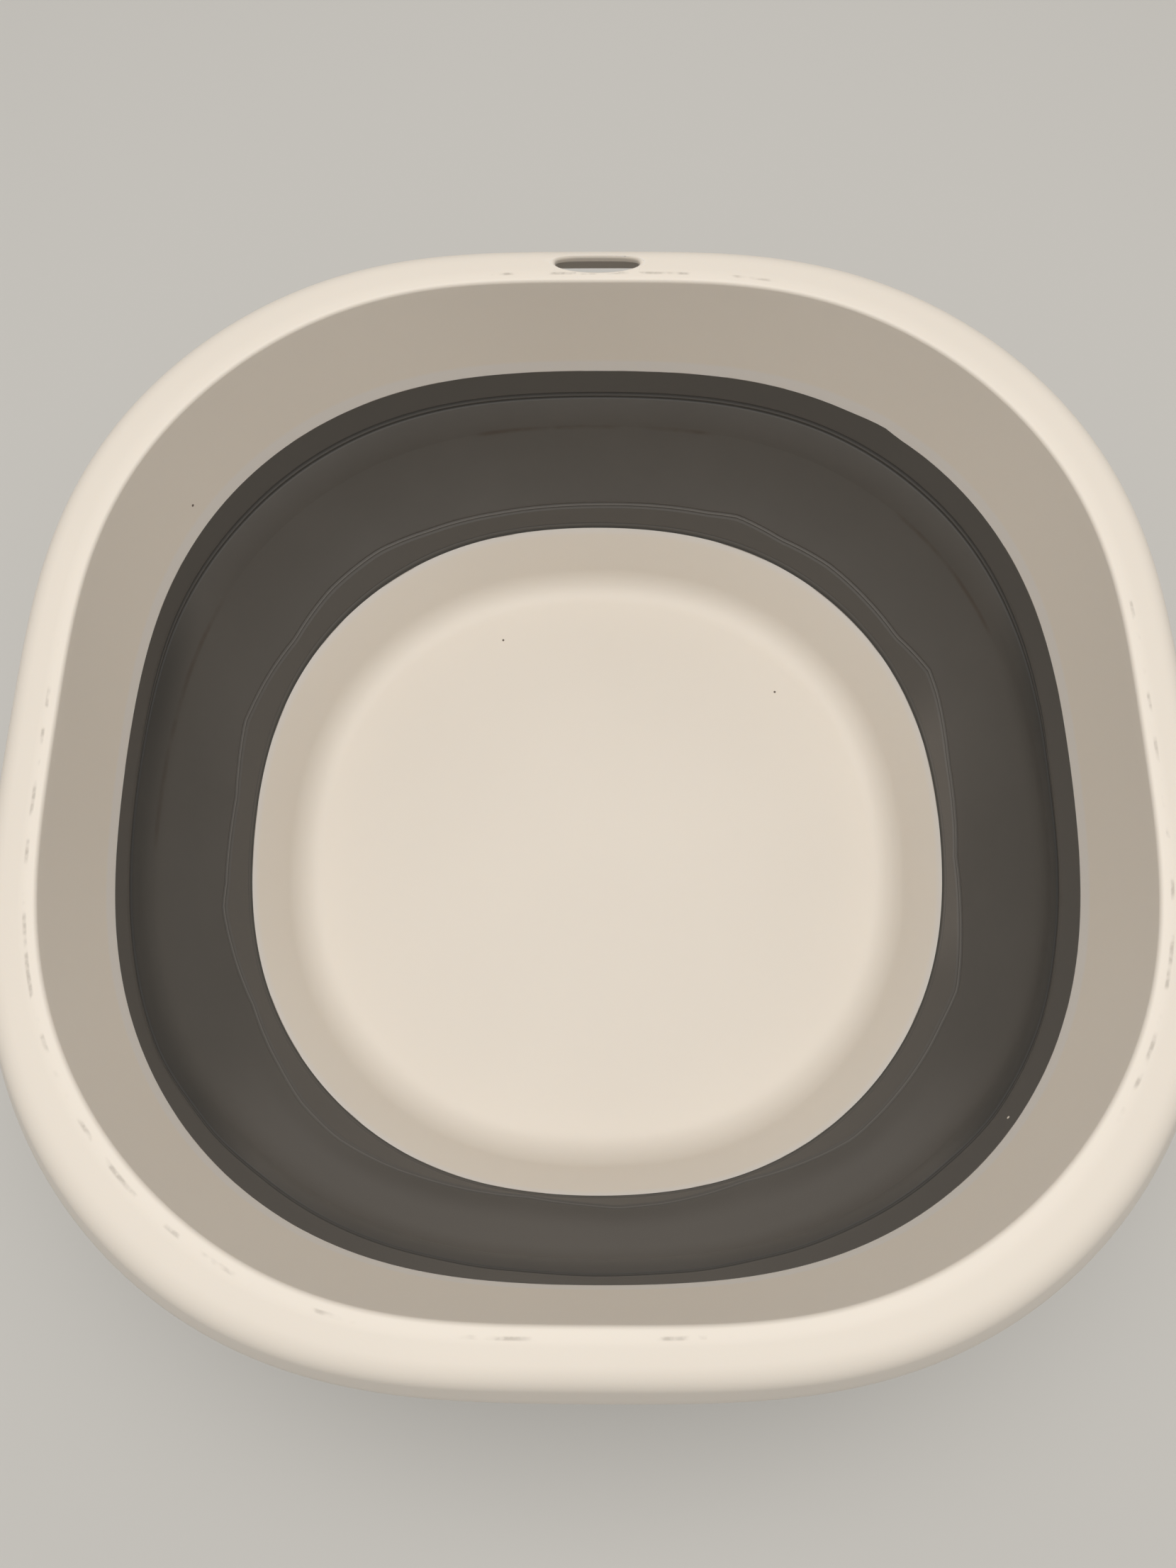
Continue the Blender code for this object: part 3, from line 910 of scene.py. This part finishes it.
def set_sockets(shader, values):
    for name, value in values.items():
        shader.inputs[name].default_value = value


def bumped(tree, shader, layers):
    """Chains bumps of noise, each a (scale, detail, strength, depth in metres)."""
    normal = None
    for scale, detail, strength, depth in layers:
        height = noise(tree, scale, detail)
        inputs = [("Height", height), ("Strength", strength), ("Distance", depth)]
        if normal:
            inputs.append(("Normal", normal))
        normal = add_node(tree, "ShaderNodeBump", inputs).outputs[0]
    tree.links.new(normal, shader.inputs["Normal"])


def run_of(tree):
    return add_node(tree, "ShaderNodeAttribute", attribute_name="run").outputs["Fac"]


def run_near(line, place):
    """The run of the section's point that lies nearest to this (half, height)."""
    best = min(range(len(line)), key=lambda i: math.dist(line[i], place))
    return runs_of(line)[best]


rim_crest = run_near(rim_line, (RIM_INNER_HALF + 0.0030, RIM_TOP))
dish_edge = run_near(dish_line, DISH_LIP)
print("rim's crest at run", round(rim_crest, 4), "dish edge at run", round(dish_edge, 4))

# %% [markdown]
# ### Off-white plastic
# The hard pieces look like polypropylene: satin, a little warm, and slightly clear. Each has a
# bluish strip along its edge, perhaps because the grey of the rubber behind it shows through.
# There is a thin grey rub line along the crest of the rim, and there are a few dark specks. The
# rub line shows only at the places listed, and a noise breaks it into dashes.

# %% Paint the plastic
WHITE = (0.775, 0.712, 0.630)
WHITE_CLOUDED = tuple(c * 0.985 for c in WHITE)
STRIP_TINT = (0.985, 1.02, 1.09)
RUB_COLOR = (0.20, 0.165, 0.13)
GRIME_COLOR = (0.20, 0.14, 0.09)
SPECK_COLOR = (0.10, 0.07, 0.05)
PLASTIC_SOCKETS = {
    "Roughness": 0.46,
    "IOR": 1.49,
    "Subsurface Weight": 0.08,
    "Subsurface Radius": (0.004, 0.003, 0.002),
}
PLASTIC_RELIEF = ((1400.0, 2.0, 0.10, 0.0001), (60.0, 2.0, 0.05, 0.0005))
EDGE_SOFT = 3.0
RUB_WANDER = 0.0012
RUB_LINE = (0.00014, 0.00060)
GRIME_LINE = (0.0001, 0.0002)
RUBBED_AT = (
    (6.0, 8.0), (86.5, 15.0), (191.5, 21.0), (233.5, 15.0), (261.4, 1.0), (278.0, 1.5),
    (341.0, 17.0),
)  # fmt: skip
SPECKS = (
    (-0.0406, 0.0932, FLOOR_TOP),
    (0.0759, 0.0692, FLOOR_TOP),
    (-0.1367, 0.0909, 0.1200),
)


def rub_marks(tree, run, crest):
    """Dashes along a line that wanders a little beside the crest."""
    dashes = faded(tree, noise(tree, 120.0, 2.0), 0.48, 0.64, 0.0, 0.42)
    grain = faded(tree, noise(tree, 420.0, 2.0), 0.35, 0.60, 0.45, 1.0)
    wander = times(tree, number(tree, "SUBTRACT", noise(tree, 14.0, 1.0), 0.5), RUB_WANDER)
    line = band(tree, number(tree, "ADD", run, wander), crest, *RUB_LINE)
    rubbed_here = around(tree, RUBBED_AT, EDGE_SOFT)
    return times(tree, line, rubbed_here, times(tree, dashes, grain))


def plastic(name, strip_start, strip_end, edge, crest=None):
    material, tree, shader = new_finish(name)
    run = run_of(tree)
    cloudy = faded(tree, noise(tree, 9.0, 2.0), 0.35, 0.65, 0.0, 1.0)
    color = mixed(tree, cloudy, WHITE, WHITE_CLOUDED)
    strip = faded(tree, run, strip_start, strip_end)
    color = mixed(tree, strip, color, mixed(tree, 1.0, color, STRIP_TINT, "MULTIPLY"))
    grimy_here = faded(tree, noise(tree, 40.0), 0.5, 0.6, 0.0, 0.5)
    grime = times(tree, band(tree, run, edge, *GRIME_LINE), grimy_here)
    color = mixed(tree, grime, color, GRIME_COLOR)
    if crest:
        color = mixed(tree, rub_marks(tree, run, crest), color, RUB_COLOR)
    color = mixed(tree, specks(tree, SPECKS), color, SPECK_COLOR)
    tree.links.new(color, shader.inputs["Base Color"])
    set_sockets(shader, PLASTIC_SOCKETS)
    bumped(tree, shader, PLASTIC_RELIEF)
    return material


rim_finish = plastic("off_white_rim", 0.0040, 0.0060, 0.0, rim_crest)
dish_finish = plastic("off_white_dish", dish_edge - 0.0004, dish_edge - 0.0044, dish_edge)
print("painted", rim_finish.name, "and", dish_finish.name)

# %% [markdown]
# ### Grey rubber
# The wall is a soft rubber with a matt skin and a faint bloom of dust. It is stained a little
# brown where the wall turns over. Painted shade darkens the top of the band, most at the left
# and right, and the upper fold. Painted highlight makes it paler along the lower fold and at the
# middle of the near side. Below the lower fold it is paler too, partly a grey of its own and
# partly painted light. This step says where each of these is.

# %% Say where the stains, painted shade and painted highlight go
STAINED_AT = (
    (34.0, 8.5), (78.3, 3.0), (92.0, 3.0), (102.3, 3.5), (157.0, 4.0), (166.5, 4.0),
    (180.0, 5.0),
)  # fmt: skip
STAIN_LINE = (0.0002, 0.0016)
BAND_DARKENS, BAND_PALES = (0.0135, 0.0150), (0.0180, 0.0340)
SIDE_BEGINS = (0.120, 0.143)
NEAR_BEGINS = (-0.140, -0.110)
NEAR_MIDDLE = (0.0460, 0.0050, 0.0120)
NEAR_MIDDLE_FADES = (-0.120, -0.080)


def stained(tree, run):
    """The roll at the band's top, in patches, at the places listed."""
    patches = faded(tree, noise(tree, 90.0, 3.0), 0.35, 0.60, 0.25, 0.75)
    roll = band(tree, run, run_near(wall_line, ROLL_END), *STAIN_LINE)
    return times(tree, roll, patches, around(tree, STAINED_AT, EDGE_SOFT))


def painted_shade_top_of_band(tree, run):
    """Painted shade at the top of the band: full at the left and right, which lean as
    the band does, and less at the near side.
    """
    x, y = across(tree)
    sideways = times(tree, number(tree, "ABSOLUTE", x), math.cos(SIDE_LEAN))
    sideways = number(tree, "SUBTRACT", sideways, times(tree, y, math.sin(SIDE_LEAN)))
    side = faded(tree, sideways, *SIDE_BEGINS, 0.0, 1.0)
    near = faded(tree, y, *NEAR_BEGINS, 0.40, 0.0)
    darkens = faded(tree, run, *BAND_DARKENS, 0.0, 1.0)
    pales = faded(tree, run, *BAND_PALES, 1.0, 0.2)
    top = number(tree, "MINIMUM", darkens, pales)
    return times(tree, number(tree, "MAXIMUM", side, near), top)


# Painted highlight: the middle of the band is paler at the near side.
def painted_highlight_near_middle(tree, run):
    y = across(tree)[1]
    return times(tree, band(tree, run, *NEAR_MIDDLE), faded(tree, y, *NEAR_MIDDLE_FADES))


hinge_run = run_near(wall_line, HINGE_RIB)
crease_run = run_near(wall_line, CREASE_RIB)
collar_end = run_near(wall_line, DISH_LIP)
print("hinge at run", round(hinge_run, 4), "crease at run", round(crease_run, 4))

# %% [markdown]
# ### One grey over another
# Each share mixes its grey over what is already there, in the order of the list, so the thin
# lines of the two folds come after the wide patches. The greys are tuned until the basin looks
# as it does in the photograph. The darker greys at the top of the band and at the upper fold are
# painted shade, the paler greys at the near middle, along the lower fold and at the right of the
# lower band are painted highlight, and the lower band's own paler grey is partly painted light.

# %% Paint the rubber
GREY = (0.084, 0.077, 0.069)
GREY_WORN = (0.112, 0.104, 0.095)
GREY_STAIN = (0.060, 0.044, 0.034)
# Painted shade: the top of the band, under the upper fold, darkest at the left and right.
GREY_SIDE_SHADE = (0.036, 0.034, 0.031)
# Painted highlight at the middle of the band on the near side.
GREY_NEAR_HIGHLIGHT = (0.108, 0.101, 0.093)
GREY_LIP = (0.075, 0.069, 0.062)
# Painted shade in the groove of the upper fold; the rib along it is left at the plain grey.
GREY_HINGE_SHADE = (0.042, 0.039, 0.035)
# Painted highlight: a thin pale line along the lower fold.
GREY_CREASE_HIGHLIGHT = (0.135, 0.127, 0.116)
# The lower band is paler, partly a grey of its own and partly painted light; at the right it is a
# painted highlight.
GREY_LOW = (0.092, 0.085, 0.077)
GREY_LOW_RIGHT_HIGHLIGHT = (0.130, 0.121, 0.111)
GREY_EDGE = (0.048, 0.048, 0.045)
LIP_FADES = (0.0095, 0.0125)
HINGE_SHADE, HINGE_LINE = (0.0016, 0.0005), (0.0001, 0.0003)
CREASE_LINE = (0.0002, 0.0003)
LOWER_BAND = (crease_run + 0.0065, 0.0050, 0.0010)
RIGHT_HIGHLIGHT_PLACES = ((0.0, 14.0), (360.0, 14.0))
RIGHT_HIGHLIGHT_SOFT = 12.0
COLLAR_LINE = (0.0011, 0.0004)
PALE_SPECKS = ((0.1226, -0.1064, 0.1050),)
RUBBER_SOCKETS = {"Roughness": 0.62, "IOR": 1.5}
RUBBER_RELIEF = ((900.0, 3.0, 0.18, 0.0002), (45.0, 2.0, 0.10, 0.0006))


def rubber():
    material, tree, shader = new_finish("warm_grey_rubber")
    run = run_of(tree)
    bloom = faded(tree, noise(tree, 16.0, 4.0), 0.35, 0.75, 0.0, 0.35)
    color = mixed(tree, bloom, GREY, GREY_WORN)
    right = around(tree, RIGHT_HIGHLIGHT_PLACES, RIGHT_HIGHLIGHT_SOFT)
    layers = (
        (stained(tree, run), GREY_STAIN),
        (painted_shade_top_of_band(tree, run), GREY_SIDE_SHADE),
        (painted_highlight_near_middle(tree, run), GREY_NEAR_HIGHLIGHT),
        (faded(tree, run, *LIP_FADES), GREY_LIP),
        (band(tree, run, hinge_run, *HINGE_SHADE), GREY_HINGE_SHADE),
        (band(tree, run, hinge_run, *HINGE_LINE), GREY),
        (band(tree, run, crease_run, *CREASE_LINE), GREY_CREASE_HIGHLIGHT),
        (band(tree, run, *LOWER_BAND), mixed(tree, right, GREY_LOW, GREY_LOW_RIGHT_HIGHLIGHT)),
        (band(tree, run, collar_end, *COLLAR_LINE), GREY_EDGE),
        (specks(tree, PALE_SPECKS), WHITE),
    )
    for share, grey in layers:
        color = mixed(tree, share, color, grey)
    tree.links.new(color, shader.inputs["Base Color"])
    set_sockets(shader, RUBBER_SOCKETS)
    bumped(tree, shader, RUBBER_RELIEF)
    return material


rubber_finish = rubber()
finishes = {rim: rim_finish, dish: dish_finish, wall: rubber_finish}
finishes.update((pad, rubber_finish) for pad in pads)
for piece, finish in finishes.items():
    piece.data.materials.clear()
    piece.data.materials.append(finish)
print("painted", len(finishes), "pieces")

# %% [markdown]
# ## Light and floor
# The light in the photograph is soft and comes from above. A square lamp over the basin lights
# the dish and the crown, and a pale sky, dimmer towards the horizon, fills the upright walls. The
# floor is plain and pale, and keeps the basin's shadow. It throws back less light than it shows,
# as a darker floor would.

# %% Light the scene
FLOOR_RADIUS = 8.0
FLOOR_COLOR = (0.58, 0.57, 0.545)
FLOOR_BOUNCE = (0.20, 0.195, 0.19)
SKY_COLOR = (1.0, 0.985, 0.96)
SKY_ABOVE, SKY_LOW = 0.44, 0.18
BACKGROUND = (0.86, 0.855, 0.845)
LAMP_POWER = 17.0
LAMP_SIZE = 1.3
LAMP_PLACE = (0.0, 0.0, 1.6)
LAMP_COLOR = (1.0, 0.97, 0.93)


def seen_directly(tree):
    """1 for rays that show the background: direct, or by way of a gloss or a clear piece."""
    path = add_node(tree, "ShaderNodeLightPath").outputs
    glossy = number(tree, "MAXIMUM", path["Is Camera Ray"], path["Is Glossy Ray"])
    return number(tree, "MAXIMUM", glossy, path["Is Transmission Ray"])


def make_floor():
    bpy.ops.object.select_all(action="DESELECT")
    bpy.ops.mesh.primitive_circle_add(vertices=96, radius=FLOOR_RADIUS, fill_type="NGON")
    floor = bpy.context.object
    floor.name = "floor"
    material, tree, shader = new_finish("pale_floor")
    tint = mixed(tree, seen_directly(tree), FLOOR_BOUNCE, FLOOR_COLOR)
    tree.links.new(tint, shader.inputs["Base Color"])
    set_sockets(shader, {"Roughness": 0.8})
    floor.data.materials.append(material)
    return floor


def make_sky():
    world = bpy.data.worlds.new("pale_sky")
    bpy.context.scene.world = world
    world.use_nodes = True
    tree = world.node_tree
    tree.nodes.clear()
    direction = add_node(tree, "ShaderNodeTexCoord").outputs["Generated"]
    upward = add_node(tree, "ShaderNodeSeparateXYZ", [(0, direction)]).outputs["Z"]
    level = faded(tree, upward, 0.0, 0.5, SKY_LOW, SKY_ABOVE)
    light = add_node(tree, "ShaderNodeBackground", [(0, (*SKY_COLOR, 1.0)), (1, level)])
    seen = add_node(tree, "ShaderNodeBackground", [(0, (*BACKGROUND, 1.0)), (1, 1.0)])
    shares = [(0, seen_directly(tree)), (1, light.outputs[0]), (2, seen.outputs[0])]
    mix = add_node(tree, "ShaderNodeMixShader", shares)
    out = add_node(tree, "ShaderNodeOutputWorld")
    tree.links.new(mix.outputs[0], out.inputs[0])


def make_lamp():
    bpy.ops.object.light_add(type="AREA", location=LAMP_PLACE)
    lamp = bpy.context.object
    lamp.name = "ceiling_lamp"
    lamp.data.energy = LAMP_POWER
    lamp.data.shape = "SQUARE"
    lamp.data.size = LAMP_SIZE
    lamp.data.color = LAMP_COLOR


make_floor()
make_sky()
make_lamp()
print("lamp", LAMP_POWER, "W, sky", SKY_LOW, "at the horizon and", SKY_ABOVE, "above")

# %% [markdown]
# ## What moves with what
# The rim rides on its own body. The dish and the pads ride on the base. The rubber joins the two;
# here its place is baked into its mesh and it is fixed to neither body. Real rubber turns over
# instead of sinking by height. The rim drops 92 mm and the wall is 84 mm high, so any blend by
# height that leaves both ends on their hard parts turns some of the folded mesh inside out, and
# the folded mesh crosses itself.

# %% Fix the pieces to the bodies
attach(rim, "rim")
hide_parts("rim_frame")
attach(dish, "base")
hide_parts("base_pan")
for index, pad in enumerate(pads, 1):
    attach(pad, "base")
    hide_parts(f"foot_pad_{index}")
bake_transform(wall)
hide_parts("folding_wall")
